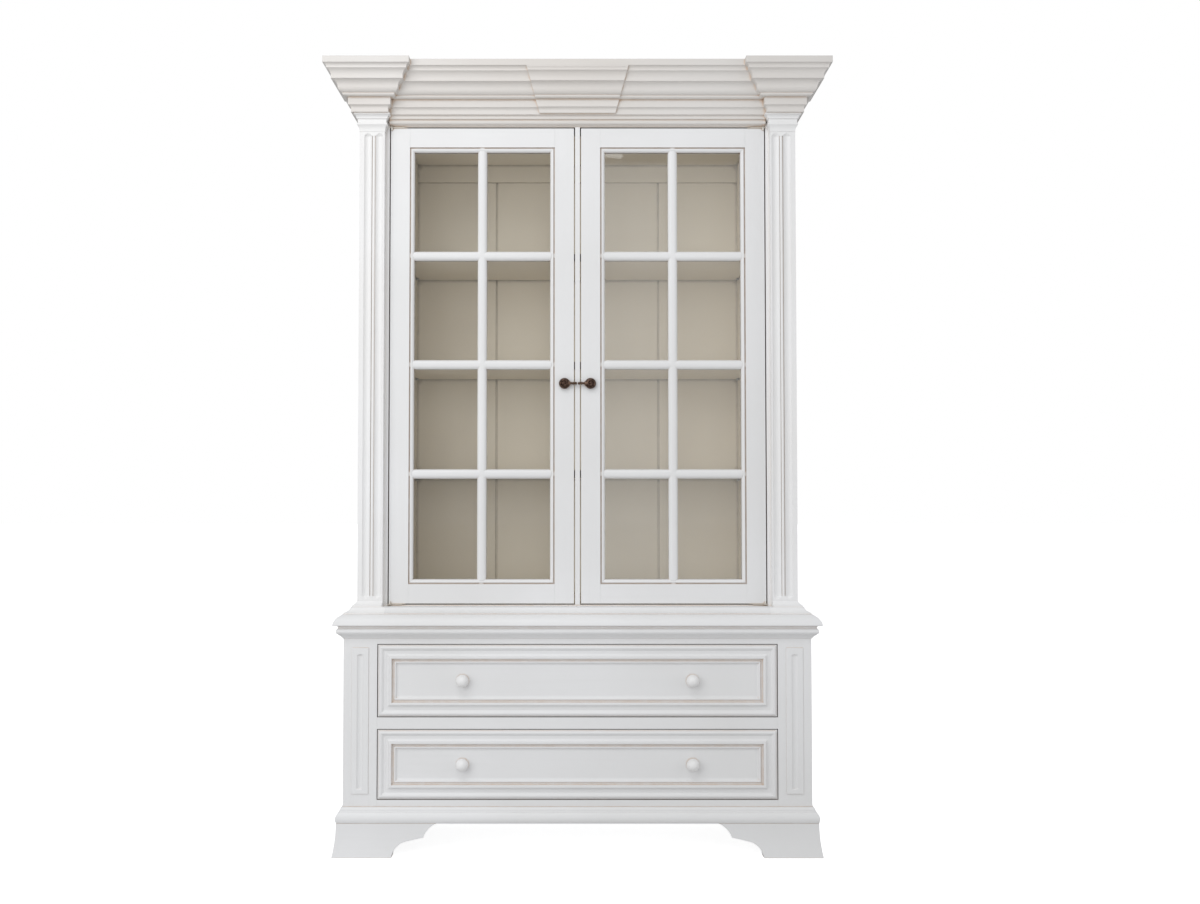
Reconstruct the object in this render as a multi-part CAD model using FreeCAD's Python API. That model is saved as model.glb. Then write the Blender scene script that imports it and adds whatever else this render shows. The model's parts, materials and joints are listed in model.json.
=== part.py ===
import FreeCAD, Part

import math
import os

Vector = FreeCAD.Vector

# China cabinet: a glazed hutch standing on a two-drawer base.
# Millimetres. X runs to the right, Y to the back and Z up. The origin is on the
# floor, in the middle of the bounding box.

# --- Heights, from the floor up ---
foot_height = 88.0
base_moulding_height = 41.0
bottom_rail_height = 18.0
lower_drawer_opening = 187.5
middle_rail_height = 31.0
upper_drawer_opening = 195.0
top_rail_height = 14.5
waist_height = 65.0
base_rail_height = 20.0
door_height = 1308.0
head_rail_height = 29.0
cornice_height = 131.0

# --- Widths ---
door_width = 505.5
centre_stile_width = 13.4
pilaster_strip = 10.0
pilaster_width = 68.5
case_overhang = 29.5
corner_post_width = 90.5
side_relief = 12.0

# --- Depths, measured from the plane of the door faces ---
hutch_depth = 340.0
pilaster_relief = 24.0
case_step = 56.0
corner_post_depth = 50.0
hutch_post_depth = 45.0

# --- Base and fluting of the pilasters, and the tablet on each corner post ---
pilaster_step_height = 17.0
flute_width = 21.0
flute_depth = 6.0
flute_taper = 10.0
flute_foot_margin = 36.0
flute_head_margin = 50.0
flute_side_margin = 12.5
reed_width = 10.0
tablet_width = 46.0
tablet_relief = 2.5
tablet_edge = 2.0
tablet_foot_margin = 34.0
tablet_head_margin = 10.0
tablet_flute_width = 17.0
tablet_flute_depth = 4.0
tablet_flute_foot_margin = 10.0
tablet_flute_head_margin = 16.0
tablet_flute_taper = 4.0

# --- Board thicknesses ---
case_side_thickness = 22.0
hutch_side_thickness = 20.0
lining_thickness = 18.0
back_thickness = 14.0
bottom_thickness = 15.0
waist_board_thickness = 25.0
hutch_board_thickness = 20.0
shelf_thickness = 22.0
rail_depth = 22.0

# --- Doors ---
door_thickness = 22.0
door_gap = 3.0
door_stop_gap = 0.5
stile_width = 53.0
sash_width = 12.5
glass_thickness = 4.0
glass_rebate = 7.0
glass_seat_depth = 12.0
glass_clearance = 0.5
muntin_width = 25.5
muntin_web = 6.0
pane_rows = 4
pivot_pin_radius = 2.5
pivot_pin_stand = 3.0
pivot_pin_bite = 6.0
pivot_ear = 2.5
pivot_leaf = 1.2
door_leaf_length = 45.0
case_leaf_length = 40.0
pivot_clearance = 0.05

# --- Turn latches ---
latch_height_above_door = 601.5
latch_from_door_edge = 26.0
latch_knob_radius = 15.5
latch_knob_depth = 13.0
latch_lift = 4.0
spindle_radius = 4.0
spindle_clearance = 0.1
tongue_thickness = 3.0
tongue_width = 12.0
tongue_gap = 0.6
latch_boss_gap = 0.5
latch_tip_gap = 1.0

# --- Drawers ---
drawer_gap = 2.0
drawer_side_thickness = 14.0
drawer_side_clearance = 6.0
drawer_bottom_thickness = 6.0
drawer_bottom_rise = 12.0
drawer_groove = 6.0
drawer_back_thickness = 14.0
drawer_back_room = 14.0
drawer_front_thickness = 24.0
drawer_front_pride = 6.0
drawer_border = 54.0
drawer_field_sink = 10.0
drawer_slack = 0.4
drawer_head_room = 3.0
runner_width = 88.0
knob_spacing = 612.0
knob_radius = 17.0
knob_length = 30.0
knob_screw_radius = 2.0
knob_screw_bite = 14.0
knob_screw_head = 2.4

# --- Hutch inside ---
lining_inset = 34.2
shelf_setback = 8.0
shelf_edge_round = 3.0
shelf_clearance = 1.0
shelf_pin_radius = 3.0
shelf_pin_length = 18.0
shelf_pin_inset = 40.0
ceiling_below_door_top = 14.0
back_rail_height = 52.0
back_rail_thickness = 6.0
back_groove_x = 244.0
back_groove_width = 6.0
back_groove_depth = 3.0

# --- Cornice, base moulding and feet ---
frieze_relief = 21.0
block_inner_relief = 12.0
crown_reach = 65.0
block_setback = 24.0
cornice_thickness = 40.0
base_thickness = 40.0
foot_thickness = 24.0
foot_front_length = 251.0
foot_side_share = 0.467
foot_rise_width = 118.0
foot_head_reach = 15.0
foot_toe_reach = 25.0
glue_block = 45.0
keystone_top = 276.0
keystone_foot = 208.0
keystone_relief = 6.0
keystone_rise = 3.0
fascia_height = 17.0

# --- Derived levels ---
base_z = foot_height
case_z = base_z + base_moulding_height
drawer_z = {"lower": case_z + bottom_rail_height}
middle_rail_z = drawer_z["lower"] + lower_drawer_opening
drawer_z["upper"] = middle_rail_z + middle_rail_height
drawer_opening = {"lower": lower_drawer_opening, "upper": upper_drawer_opening}
top_rail_z = drawer_z["upper"] + upper_drawer_opening
waist_z = top_rail_z + top_rail_height
hutch_z = waist_z + waist_height
waist_board_z = hutch_z - waist_board_thickness
sill_z = hutch_z + base_rail_height
door_z = sill_z + door_gap
door_top_z = door_z + door_height
head_z = door_top_z + door_gap
cornice_z = head_z + head_rail_height
total_height = cornice_z + cornice_height
ceiling_z = door_top_z - ceiling_below_door_top

# --- Derived widths, as distances from the centre plane ---
door_inner_x = centre_stile_width / 2 + door_gap
door_outer_x = door_inner_x + door_width
opening_x = door_outer_x + door_gap
pilaster_inner_x = opening_x + pilaster_strip
hutch_x = pilaster_inner_x + pilaster_width
case_x = hutch_x + case_overhang
hutch_side_x = hutch_x - side_relief
drawer_opening_x = case_x - corner_post_width
case_inner_x = case_x - case_side_thickness
lining_half_width = opening_x - lining_inset

# --- Derived depths ---
front_reach = pilaster_relief + frieze_relief + crown_reach
door_y = front_reach - (hutch_depth + front_reach) / 2
back_y = door_y + hutch_depth
pilaster_y = door_y - pilaster_relief
case_y = door_y - case_step
post_back_y = case_y + corner_post_depth
hutch_post_back_y = door_y + hutch_post_depth
door_back_y = door_y + door_thickness
shelf_front_y = door_back_y + shelf_setback
foot_side_length = foot_side_share * (back_y - case_y)
back_face_y = back_y - back_thickness

UP = Vector(0, 0, 1)
PLAN = (Vector(1, 0, 0), Vector(0, 1, 0), UP)
FRONT = (Vector(1, 0, 0), UP, Vector(0, -1, 0))


def box(x0, x1, y0, y1, z0, z1):
    return Part.makeBox(x1 - x0, y1 - y0, z1 - z0, Vector(x0, y0, z0))


def rod(radius, start, along, length):
    return Part.makeCylinder(radius, length, start, along)


def mirrored(shape):
    return shape.mirror(Vector(0, 0, 0), Vector(1, 0, 0))


def joined(solids):
    whole = solids[0].multiFuse(solids[1:]) if len(solids) > 1 else solids[0]
    return whole.removeSplitter()


def outline_face(points, origin, across, up):
    """A closed outline of (across, up) points, counterclockwise. A third number bulges
    the stretch that starts at its point: outward when positive, hollow when negative."""
    edges = []
    for here, there in zip(points, points[1:] + points[:1]):
        start = origin + across * here[0] + up * here[1]
        end = origin + across * there[0] + up * there[1]
        if len(here) == 3:
            run = there[0] - here[0]
            rise = there[1] - here[1]
            span = math.hypot(run, rise)
            outward = across * (rise / span) - up * (run / span)
            edges.append(Part.Arc(start, (start + end) * 0.5 + outward * here[2], end).toShape())
        else:
            edges.append(Part.LineSegment(start, end).toShape())
    return Part.Face(Part.Wire(edges))


def turned(points, origin, along, across):
    """A solid of revolution about the line through origin. Points are (radius, along)."""
    return outline_face(points, origin, across, along).revolve(origin, along, 360)


def extruded(points, origin, across, up, length):
    return outline_face(points, origin, across, up).extrude(across.cross(up) * length)


def moulded_run(outline, start, along, length, axes, mitres):
    """One straight length of moulding. The outline is (reach, height): reach goes to
    the right of the run. A mitre of 1 lengthens the end with reach, -1 shortens it."""
    first, second, up = axes
    ahead = first * along[0] + second * along[1]
    right = first * along[1] - second * along[0]
    origin = first * start[0] + second * start[1]
    reaches = [point[0] for point in outline]
    heights = [point[1] for point in outline]
    bulge = max([abs(point[2]) for point in outline if len(point) == 3], default=0) + 1
    low, high = min(reaches) - bulge, max(reaches) + bulge
    margin = max(abs(low), abs(high)) + 1
    bar_face = outline_face(outline, origin - ahead * margin, right, up)
    bar = bar_face.extrude(ahead * (length + 2 * margin))
    corners = [
        (-mitres[0] * low, low),
        (length + mitres[1] * low, low),
        (length + mitres[1] * high, high),
        (-mitres[0] * high, high),
    ]
    floor = origin + up * (min(heights) - bulge)
    stencil = outline_face(corners, floor, ahead, right)
    return bar.common(stencil.extrude(up * (max(heights) - min(heights) + 2 * bulge)))


def wrapped_runs(outline, path, axes, ends=(0, 0), closed=False):
    """Runs of moulding along a path, mitred at its corners, one solid for each run."""
    corners = path + path[:1] if closed else path
    headings = []
    for here, there in zip(corners, corners[1:]):
        span = math.dist(here, there)
        headings.append(((there[0] - here[0]) / span, (there[1] - here[1]) / span))

    def mitre(before, after):
        return 1 if before[0] * after[1] - before[1] * after[0] > 0 else -1

    turns = [mitre(before, after) for before, after in zip(headings, headings[1:])]
    if closed:
        ends = (mitre(headings[-1], headings[0]),) * 2
    mitres = [ends[0]] + turns + [ends[1]]
    runs = []
    for i, heading in enumerate(headings):
        length = math.dist(corners[i], corners[i + 1])
        pair = (mitres[i], mitres[i + 1])
        runs.append(moulded_run(outline, corners[i], heading, length, axes, pair))
    return runs


def rectangle_path(x0, x1, z0, z1):
    """Clockwise as seen from the front, so that reach goes inward."""
    return [(x0, z0), (x0, z1), (x1, z1), (x1, z0)]


# ---------------------------------------------------------------- base


def base_moulding():
    """A mitred frame of three runs that carries the case on the feet."""
    z = base_z
    outline = [
        (-base_thickness, z),
        (14, z),
        (15, z + 2, 4),
        (11, z + 27),
        (8, z + 28),
        (7, z + 31, 1.5),
        (3, z + base_moulding_height - 1),
        (3, z + base_moulding_height),
        (-base_thickness, z + base_moulding_height),
    ]
    path = [(-case_x, back_y), (-case_x, case_y), (case_x, case_y), (case_x, back_y)]
    return wrapped_runs(outline, path, PLAN)


def foot_section():
    """Flares outward to the floor in a hollow curve."""
    return [
        (foot_head_reach - foot_thickness, 0),
        (foot_toe_reach, 0, -2.5),
        (foot_head_reach, foot_height),
        (foot_head_reach - foot_thickness, foot_height),
    ]


def scroll_cut(arm, corner, heading, length):
    """Trims an arm to its scroll silhouette, which starts at the corner of the case."""
    toe = length - foot_rise_width
    silhouette = [
        (-2 * foot_thickness, 0),
        (toe, 0, -8),
        (toe + 36, 41),
        (toe + 84, 52, -5),
        (length, foot_height),
        (-2 * foot_thickness, foot_height),
    ]
    outward = heading.cross(UP)
    width = 4 * foot_thickness
    face = outline_face(silhouette, corner - outward * (width / 2), heading, UP)
    return arm.common(face.extrude(outward * width))


def front_foot_left():
    """Two mitred arms with a glue block in their corner."""
    corner = Vector(-case_x, case_y, 0)
    front = moulded_run(foot_section(), (-case_x, case_y), (1, 0), foot_front_length, PLAN, (1, 0))
    side_start = (-case_x, case_y + foot_side_length)
    side = moulded_run(foot_section(), side_start, (0, -1), foot_side_length, PLAN, (0, 1))
    inset = foot_thickness - foot_head_reach
    x0, y0 = inset - case_x, case_y + inset
    block = box(x0, x0 + glue_block, y0, y0 + glue_block, 6, foot_height)
    return [
        scroll_cut(front, corner, Vector(1, 0, 0), foot_front_length),
        scroll_cut(side, corner, Vector(0, 1, 0), foot_side_length),
        block,
    ]


def rear_foot_left():
    """One arm along the side, and a plain board across the back."""
    side = moulded_run(foot_section(), (-case_x, back_y), (0, -1), foot_side_length, PLAN, (0, 0))
    x0 = foot_thickness - foot_head_reach - case_x
    board = box(x0, x0 + 2 * glue_block, back_y - foot_thickness, back_y, 0, foot_height)
    return [scroll_cut(side, Vector(-case_x, back_y, 0), Vector(0, -1, 0), foot_side_length), board]


def corner_post_left():
    """A square post with a raised tablet on its face and one flute down the tablet."""
    z0, z1 = case_z, waist_board_z
    centre = -case_x + corner_post_width / 2
    post = box(-case_x, -drawer_opening_x, case_y, post_back_y, z0, z1)
    tablet_z = (case_z + tablet_foot_margin, top_rail_z - tablet_head_margin)
    half = tablet_width / 2
    tablet = extruded(
        [
            (-half, 0),
            (half, 0),
            (half, tablet_relief - tablet_edge, 0.4),
            (half - tablet_edge, tablet_relief),
            (tablet_edge - half, tablet_relief, 0.4),
            (-half, tablet_relief - tablet_edge),
        ],
        Vector(centre, case_y, tablet_z[0]),
        Vector(1, 0, 0),
        Vector(0, -1, 0),
        -(tablet_z[1] - tablet_z[0]),
    )
    flute = flute_tool(
        centre,
        case_y - tablet_relief,
        tablet_flute_width,
        tablet_flute_depth,
        tablet_z[0] + tablet_flute_foot_margin,
        tablet_z[1] - tablet_flute_head_margin,
        tablet_flute_taper,
    )
    return joined([post, tablet]).cut(flute)


def flute_tool(x, y, width, depth, z0, z1, taper):
    """A hollow channel cut straight down a face, rising to the face at both ends."""
    radius = (width * width / 4 + depth * depth) / (2 * depth)
    axis_y = y + depth - radius
    point = radius - depth - 1
    low = Part.makeCone(point, radius, taper, Vector(x, axis_y, z0))
    middle = rod(radius, Vector(x, axis_y, z0 + taper), UP, z1 - z0 - 2 * taper)
    high = Part.makeCone(radius, point, taper, Vector(x, axis_y, z1 - taper))
    return middle.multiFuse([low, high])


def waist_moulding():
    """Large rounded step over a bead, round the front and both sides."""
    z = waist_z
    top = waist_height
    outline = [
        (0, z),
        (1, z, -1),
        (13, z + 12),
        (13, z + 13),
        (15, z + 14, 3),
        (15, z + 27),
        (13, z + 29),
        (13, z + 33),
        (18, z + 36),
        (24, z + 36, 1),
        (26, z + 39, 4.5),
        (4, z + top - 1),
        (4, z + top),
        (0, z + top),
    ]
    path = [(-case_x, back_y), (-case_x, case_y), (case_x, case_y), (case_x, back_y)]
    return wrapped_runs(outline, path, PLAN)


def rail(z0, z1):
    return box(-drawer_opening_x, drawer_opening_x, case_y, post_back_y, z0, z1)


def drawer_runners():
    """Boards behind the posts: the drawers run on them and are kept down by them."""
    levels = [
        (case_z, drawer_z["lower"]),
        (middle_rail_z, drawer_z["upper"]),
        (top_rail_z, waist_z),
    ]
    boards = []
    for z0, z1 in levels:
        board = box(case_inner_x - runner_width, case_inner_x, post_back_y, back_face_y, z0, z1)
        boards += [board, mirrored(board)]
    return boards


# ---------------------------------------------------------------- drawers


def drawer_front(name):
    """A thick front with a moulded border round a flat sunk field."""
    x = drawer_opening_x - drawer_gap
    z0 = drawer_z[name] + drawer_gap
    z1 = drawer_z[name] + drawer_opening[name] - drawer_gap
    back = drawer_front_back_y()
    full = drawer_front_thickness
    border = drawer_border
    field = full - drawer_field_sink
    outline = [
        (0, 0),
        (border, 0),
        (border, field),
        (border - 4, field + 1.5),
        (border - 5.5, field + 4.5, 1.2),
        (border - 10, field + 4.5),
        (border - 11, field + 2.5),
        (border - 15.5, field + 2.5),
        (border - 17, full - 0.5),
        (border - 18, full),
        (border - 23, full, -3),
        (21, full - 7),
        (16.5, full - 7),
        (13, full - 4.5, 2.5),
        (3.2, full - 4.5),
        (3.2, full - 7),
        (0, full - 7),
    ]
    height_axes = (Vector(1, 0, 0), UP, Vector(0, -1, 0))
    runs = wrapped_runs(outline, rectangle_path(-x, x, z0, z1), height_axes, closed=True)
    for run in runs:
        run.translate(Vector(0, back, 0))
    panel = box(border - x, x - border, back - field, back, z0 + border, z1 - border)
    return joined(runs + [panel])


def drawer_levels(name):
    floor = drawer_z[name] + drawer_slack
    top = drawer_z[name] + drawer_opening[name] - drawer_head_room
    return floor, top


def drawer_side_x():
    return drawer_opening_x - drawer_side_clearance


def drawer_front_back_y():
    return case_y - drawer_front_pride + drawer_front_thickness


def drawer_length():
    return back_face_y - drawer_back_room - drawer_front_back_y()


def drawer_sides(name):
    floor, top = drawer_levels(name)
    y0 = drawer_front_back_y()
    outer = drawer_side_x()
    inner = outer - drawer_side_thickness
    side = box(inner, outer, y0, y0 + drawer_length(), floor, top)
    groove_z = floor + drawer_bottom_rise
    groove = box(
        inner,
        inner + drawer_groove,
        y0,
        y0 + drawer_length(),
        groove_z,
        groove_z + drawer_bottom_thickness,
    )
    side = side.cut(groove)
    return [side, mirrored(side)]


def drawer_bottom(name):
    z = drawer_levels(name)[0] + drawer_bottom_rise
    y0 = drawer_front_back_y()
    x = drawer_side_x() - drawer_side_thickness + drawer_groove
    return box(-x, x, y0, y0 + drawer_length(), z, z + drawer_bottom_thickness)


def drawer_back(name):
    floor, top = drawer_levels(name)
    z = floor + drawer_bottom_rise + drawer_bottom_thickness
    y1 = drawer_front_back_y() + drawer_length()
    x = drawer_side_x() - drawer_side_thickness
    return box(-x, x, y1 - drawer_back_thickness, y1, z, top)


def knob_profile():
    """Half section of a turned knob, from the drawer face outward, as (radius, out)."""
    return [
        (0, 0),
        (10, 0),
        (10, 2, 1.5),
        (7, 6),
        (6.5, 12, -2),
        (10, 17),
        (knob_radius - 1, 19, 2),
        (knob_radius, 24, 1.5),
        (knob_radius - 5, knob_length - 1),
        (0, knob_length),
    ]


def drawer_knobs(name):
    """Turned knobs on the field of the front, each held by a screw from the inside."""
    z = drawer_z[name] + drawer_opening[name] / 2
    face = drawer_field_y()
    solids = []
    for x in (-knob_spacing / 2, knob_spacing / 2):
        knob = turned(knob_profile(), Vector(x, face, z), Vector(0, -1, 0), Vector(1, 0, 0))
        screw = knob_screw(x, z)
        solids += [knob.cut(screw), screw]
    return solids


def drawer_field_y():
    return drawer_front_back_y() - drawer_front_thickness + drawer_field_sink


def knob_screw(x, z):
    back = drawer_front_back_y()
    length = back - drawer_field_y() + knob_screw_bite
    shank = rod(knob_screw_radius, Vector(x, back, z), Vector(0, -1, 0), length)
    head = rod(2 * knob_screw_radius, Vector(x, back, z), Vector(0, 1, 0), knob_screw_head)
    return joined([shank, head])


# ---------------------------------------------------------------- hutch


def capital_outline():
    z = cornice_z
    return [
        (-8, z),
        (-8, z - 48),
        (0.6, z - 48, -2),
        (7, z - 30),
        (7, z - 26),
        (5, z - 25),
        (5, z - 15),
        (8, z - 14, -2),
        (15, z - 4),
        (15, z),
    ]


def pilaster_base_outline(back):
    z = hutch_z
    return [
        (back, z),
        (31, z),
        (31, z + 3, -2),
        (15, z + 15),
        (15, z + pilaster_step_height),
        (back, z + pilaster_step_height),
    ]


def pilaster_upper_base_outline(back):
    z = hutch_z + pilaster_step_height
    return [(back, z), (11, z), (11, z + 5, -1.5), (0, z + 16), (back, z + 15.9)]


def pilaster_path():
    """Round the left pilaster, from the back of its post to the door's side."""
    return [
        (-hutch_side_x, hutch_post_back_y),
        (-hutch_x, hutch_post_back_y),
        (-hutch_x, pilaster_y),
        (-pilaster_inner_x, pilaster_y),
        (-pilaster_inner_x, door_y),
    ]


def pilaster_capital():
    return joined(wrapped_runs(capital_outline(), pilaster_path(), PLAN, ends=(-1, 0)))


def pilaster_base():
    """The lower step runs on across the sill. The upper step leaves out the door's side,
    so that the door clears it."""
    path = pilaster_path()
    lower_path = path[:3] + [(-opening_x, pilaster_y)]
    back = -pilaster_relief - 1
    lower = wrapped_runs(pilaster_base_outline(back), lower_path, PLAN, ends=(-1, 0))
    upper = wrapped_runs(pilaster_upper_base_outline(-8), path[:4], PLAN, ends=(-1, 0))
    return joined(lower + upper)


def pilaster_left():
    """Shaft with two flutes and a reed between them, on a post, with its capital and base."""
    z0, z1 = hutch_z, cornice_z
    post = box(-hutch_x, -opening_x, door_y, hutch_post_back_y, z0, z1)
    shaft = box(-hutch_x, -pilaster_inner_x, pilaster_y, door_y, z0, z1)
    low, high = hutch_z + flute_foot_margin, cornice_z - flute_head_margin
    body = joined([post, shaft])
    reed_x = -hutch_x + flute_side_margin + flute_width + reed_width / 2
    offset = (flute_width + reed_width) / 2
    for x in (reed_x - offset, reed_x + offset):
        tool = flute_tool(x, pilaster_y, flute_width, flute_depth, low, high, flute_taper)
        body = body.cut(tool)
    half = reed_width / 2
    z0, z1 = low + flute_taper, high - flute_taper
    body = body.cut(box(reed_x - half, reed_x + half, pilaster_y, pilaster_y + half, z0, z1))
    reed = rod(half, Vector(reed_x, pilaster_y + half, z0), UP, z1 - z0)
    body = joined([body, reed])
    capital, base = pilaster_capital(), pilaster_base()
    return [body.cut(capital).cut(base), capital, base]


def hutch_base_moulding():
    """The base of the pilasters carried along both sides to the back."""
    solids = []
    for outline in (pilaster_base_outline(0), pilaster_upper_base_outline(0)):
        path = [(-hutch_side_x, back_y), (-hutch_side_x, hutch_post_back_y)]
        solids += wrapped_runs(outline, path, PLAN, ends=(0, -1))
    left = joined(solids)
    return [left, mirrored(left)]


def hutch_side_left():
    """Outer panel and inner lining, with blind holes in the lining for the shelf pins."""
    panel = box(
        -hutch_side_x,
        -hutch_side_x + hutch_side_thickness,
        hutch_post_back_y,
        back_y,
        hutch_z,
        cornice_z,
    )
    lining = box(
        -lining_half_width - lining_thickness,
        -lining_half_width,
        shelf_front_y,
        back_face_y,
        sill_z,
        ceiling_z,
    )
    for pin in shelf_pins_left():
        lining = lining.cut(pin)
    return [panel, lining]


def shelf_levels():
    return [z - shelf_thickness / 2 for z in muntin_rows()]


def shelf_pins_left():
    pins = []
    x = -lining_half_width - shelf_pin_length / 2
    for z in shelf_levels():
        for y in (shelf_front_y + shelf_pin_inset, back_face_y - shelf_pin_inset):
            start = Vector(x, y, z - shelf_pin_radius)
            pins.append(rod(shelf_pin_radius, start, Vector(1, 0, 0), shelf_pin_length))
    return pins


def shelf(level):
    x = lining_half_width - shelf_clearance
    y0 = shelf_front_y
    y1 = back_face_y - back_rail_thickness
    top = level + shelf_thickness
    outline = [
        (y0 + shelf_edge_round, level),
        (y1, level),
        (y1, top),
        (y0 + shelf_edge_round, top, shelf_edge_round * 0.3),
        (y0, top - shelf_edge_round),
        (y0, level + shelf_edge_round, shelf_edge_round * 0.3),
    ]
    return extruded(outline, Vector(-x, 0, 0), Vector(0, 1, 0), UP, 2 * x)


def hutch_back_panel():
    """Boards with two vertical grooves, and a rail across the top."""
    panel = box(
        -hutch_side_x + hutch_side_thickness,
        hutch_side_x - hutch_side_thickness,
        back_face_y,
        back_y,
        hutch_z,
        cornice_z,
    )
    half = back_groove_width / 2
    floor_y = back_face_y + back_groove_depth
    for x in (-back_groove_x, back_groove_x):
        top = ceiling_z - back_rail_height
        panel = panel.cut(box(x - half, x + half, back_face_y, floor_y, sill_z, top))
    top_rail = box(
        -lining_half_width,
        lining_half_width,
        back_face_y - back_rail_thickness,
        back_face_y,
        ceiling_z - back_rail_height,
        ceiling_z,
    )
    return joined([panel, top_rail])


def head_rail():
    """The rail over the doors, stepped forward under the frieze."""
    z = head_z
    height = head_rail_height
    outline = [
        (-rail_depth, z),
        (0, z),
        (0, z + 3),
        (5, z + 4),
        (5, z + 6),
        (9, z + 7, 1.5),
        (10, z + 16),
        (10, z + 18),
        (15, z + 19),
        (15, z + height - 2),
        (17, z + height),
        (-rail_depth, z + height),
    ]
    start = (-opening_x, door_y)
    rail_solid = moulded_run(outline, start, (1, 0), 2 * opening_x, PLAN, (0, 0))
    capital = pilaster_capital()
    return rail_solid.cut(capital).cut(mirrored(capital))


def hutch_board(z0, z1, front_y):
    """A board across the hutch, notched at the front round the posts."""
    x = hutch_side_x - hutch_side_thickness
    rear = box(-x, x, hutch_post_back_y, back_face_y, z0, z1)
    front = box(-opening_x, opening_x, front_y, hutch_post_back_y, z0, z1)
    return joined([rear, front])


def hutch_base_rail():
    """The rail under the doors: the lower step of the pilasters runs on across its front."""
    outline = []
    for point in pilaster_base_outline(-rail_depth - pilaster_relief):
        outline.append((point[0] + pilaster_relief,) + point[1:])
    start = (-opening_x, door_y)
    step = moulded_run(outline, start, (1, 0), 2 * opening_x, PLAN, (0, 0))
    step_top = hutch_z + pilaster_step_height
    sill = box(-opening_x, opening_x, door_y - 1, door_y + rail_depth, step_top, sill_z)
    base = pilaster_base()
    return joined([step, sill]).cut(base).cut(mirrored(base))


# ---------------------------------------------------------------- cornice


def crown_outline(back, shift=0.0):
    """Frieze, bead, large ogee, bead, hollow, cavetto and fascia, from the bottom up."""
    z = total_height
    reach = crown_reach + shift
    return [
        (back, z - cornice_height),
        (reach - 65, z - cornice_height),
        (reach - 65, z - 120, -1.5),
        (reach - 58, z - 113),
        (reach - 58, z - 92),
        (reach - 51, z - 92),
        (reach - 48, z - 91, 1.5),
        (reach - 45, z - 84),
        (reach - 44, z - 84, 2.5),
        (reach - 34, z - 70, -2.5),
        (reach - 23, z - 55),
        (reach - 19, z - 54),
        (reach - 19, z - 50, -4),
        (reach - 8, z - 29),
        (reach - 8, z - 25, -2),
        (reach, z - fascia_height),
        (reach, z),
        (back, z),
    ]


def block_x():
    return pilaster_inner_x - block_inner_relief, hutch_x + frieze_relief


def cornice_block_left():
    """Square block over the pilaster, moulded on all its free faces."""
    inner, outer = block_x()
    width = outer - inner
    y0 = pilaster_y - frieze_relief
    y1 = y0 + width
    core = box(-outer, -inner, y0, y1, cornice_z, total_height)
    path = [
        (-outer + block_setback, y1),
        (-outer, y1),
        (-outer, y0),
        (-inner, y0),
        (-inner, y0 + block_setback),
    ]
    return joined([core] + wrapped_runs(crown_outline(-2), path, PLAN, ends=(-1, -1)))


def cornice_runs():
    """The long front run between the blocks, and a run down each side."""
    inner, outer = block_x()
    front_y = pilaster_y - frieze_relief + block_setback
    outline = crown_outline(-cornice_thickness)
    front = moulded_run(outline, (-inner, front_y), (1, 0), 2 * inner, PLAN, (0, 0))
    side_x = outer - block_setback
    block_back = pilaster_y - frieze_relief + outer - inner
    side = moulded_run(outline, (-side_x, back_y), (0, -1), back_y - block_back, PLAN, (0, 0))
    left_block = cornice_block_left()
    front = front.cut(left_block).cut(mirrored(left_block))
    side = side.cut(left_block)
    return [front, side, mirrored(side)]


def cornice_keystone():
    """A tapered block over the middle of the crown, under the fascia."""
    front_y = pilaster_y - frieze_relief + block_setback
    half = keystone_top / 2
    outline = crown_outline(-2, keystone_relief)
    run = moulded_run(outline, (-half, front_y), (1, 0), 2 * half, PLAN, (0, 0))
    low, high = cornice_z + keystone_rise, total_height - fascia_height
    foot = keystone_foot / 2
    silhouette = [(-foot, low), (foot, low), (half, high), (-half, high)]
    stencil = outline_face(silhouette, Vector(0, back_y, 0), Vector(1, 0, 0), UP)
    run = run.common(stencil.extrude(Vector(0, -2 * hutch_depth, 0)))
    under_fascia = front_y - crown_reach
    run = run.cut(box(-2 * half, 2 * half, under_fascia - 50, under_fascia, low, high))
    main = crown_outline(-cornice_thickness)
    return run.cut(moulded_run(main, (-half, front_y), (1, 0), 2 * half, PLAN, (0, 0)))


# ---------------------------------------------------------------- left door; the right one is its mirror


def door_flat():
    """Edges of the flat of the left door's frame: x0, x1, z0, z1 of the moulded opening."""
    return (
        -door_outer_x + stile_width,
        -door_inner_x - stile_width,
        door_z + stile_width,
        door_top_z - stile_width,
    )


def door_glass_opening():
    x0, x1, z0, z1 = door_flat()
    return x0 + sash_width, x1 - sash_width, z0 + sash_width, z1 - sash_width


def sash_outline():
    """Moulding stuck on the inner edge of the frame, as (reach, height from the back)."""
    seat = door_thickness - glass_seat_depth
    web = sash_width - glass_rebate
    return [
        (0, 0),
        (web, 0),
        (web, seat),
        (sash_width, seat),
        (sash_width, seat + 2, 2.2),
        (5.5, door_thickness - 1),
        (3.5, door_thickness - 1),
        (3.5, door_thickness - 4),
        (0, door_thickness - 4),
    ]


def sash_runs():
    """The four mitred runs of the moulding: outer side, top, inner side and bottom."""
    x0, x1, z0, z1 = door_flat()
    runs = wrapped_runs(sash_outline(), rectangle_path(x0, x1, z0, z1), FRONT, closed=True)
    for run in runs:
        run.translate(Vector(0, door_back_y, 0))
    return runs


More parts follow.
